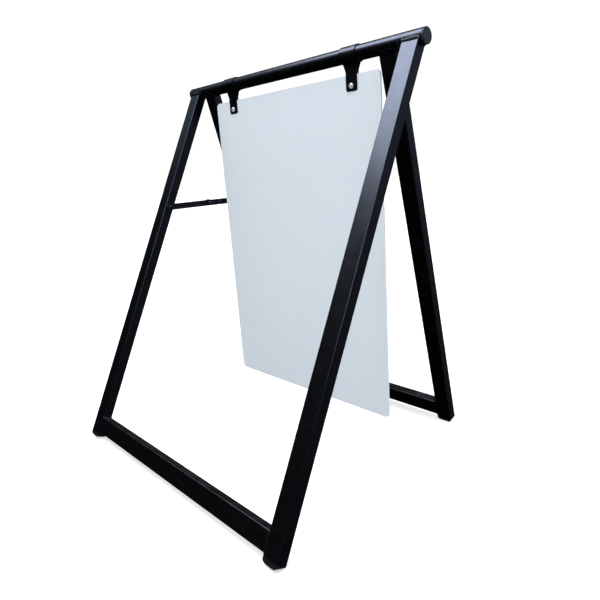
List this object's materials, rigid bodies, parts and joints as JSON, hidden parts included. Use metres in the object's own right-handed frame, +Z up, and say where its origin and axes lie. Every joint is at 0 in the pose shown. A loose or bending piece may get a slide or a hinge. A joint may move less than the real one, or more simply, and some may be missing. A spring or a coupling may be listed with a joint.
{
  "type": "sandwich board",
  "caption": "Folding pavement sandwich board: a black steel A-frame with a blank white panel hanging from its top bar on wrap-round straps.",
  "frame": {"origin": "on the floor, under the middle of the outline that the open board covers", "axes": "+X along the top bar to the right as seen from the front, +Y towards the back, +Z up; the wider frame leans out to the front (-Y)"},
  "size_m": [0.824, 0.705, 0.9461],
  "materials": {
    "frame_paint": "semi-gloss black powder coat",
    "panel_white": "satin-gloss cool white sheet",
    "black_plastic": "moulded black plastic",
    "nylon": "black nylon",
    "zinc_steel": "bright zinc plate",
    "black_zinc": "black zinc plate"
  },
  "bodies": {
    "rear_frame": {"top_tube": "frame_paint", "rear_leg_left": "frame_paint", "rear_leg_right": "frame_paint", "rear_crossbar": "frame_paint", "rear_foot_left": "black_plastic", "rear_foot_right": "black_plastic", "hinge_bush_left": "nylon", "hinge_bush_right": "nylon", "stay_rear_rivnut": "zinc_steel"},
    "front_frame": {"front_leg_left": "frame_paint", "front_leg_right": "frame_paint", "front_crossbar": "frame_paint", "hinge_sleeve_left": "frame_paint", "hinge_sleeve_right": "frame_paint", "hinge_spindle": "zinc_steel", "sleeve_grub_screws": "zinc_steel", "bar_cap_left": "black_plastic", "bar_cap_right": "black_plastic", "front_foot_left": "black_plastic", "front_foot_right": "black_plastic", "stay_front_rivet": "black_zinc", "stay_front_washer": "black_plastic"},
    "sign": {"sign_panel": "panel_white", "hanger_left": "frame_paint", "hanger_right": "frame_paint", "hanger_screws": "zinc_steel", "hanger_washers": "zinc_steel", "hanger_nuts": "zinc_steel"},
    "stay_front": {"stay_front_link": "frame_paint", "stay_knee_rivet": "black_zinc"},
    "stay_rear": {"stay_rear_link": "frame_paint", "stay_stop_plate": "frame_paint", "stay_stop_rivet": "black_zinc", "stay_rear_rivet": "black_zinc", "stay_rear_spacer": "zinc_steel"}
  },
  "joints": [
    {"name": "frame_fold", "type": "hinge", "parent": "rear_frame", "child": "front_frame", "pos_m": [0, 0.11399, 0.92803], "axis": [1, 0, 0], "range_deg": [0, 40.1]},
    {"name": "sign_swing", "type": "hinge", "parent": "rear_frame", "child": "sign", "pos_m": [0, 0.11399, 0.92803], "axis": [1, 0, 0], "continuous": true},
    {"name": "stay_front_pivot", "type": "hinge", "parent": "front_frame", "child": "stay_front", "pos_m": [-0.3587, -0.04219, 0.61202], "axis": [1, 0, 0], "range_deg": [0, 62.77]},
    {"name": "stay_knee", "type": "hinge", "parent": "stay_front", "child": "stay_rear", "pos_m": [-0.3572, 0.08974, 0.61417], "axis": [1, 0, 0], "range_deg": [-180, 0]}
  ],
  "couplings": [
    {"joint": "stay_front_pivot", "follows": "frame_fold", "ratio": 1.5653},
    {"joint": "stay_knee", "follows": "frame_fold", "ratio": -4.4888}
  ]
}
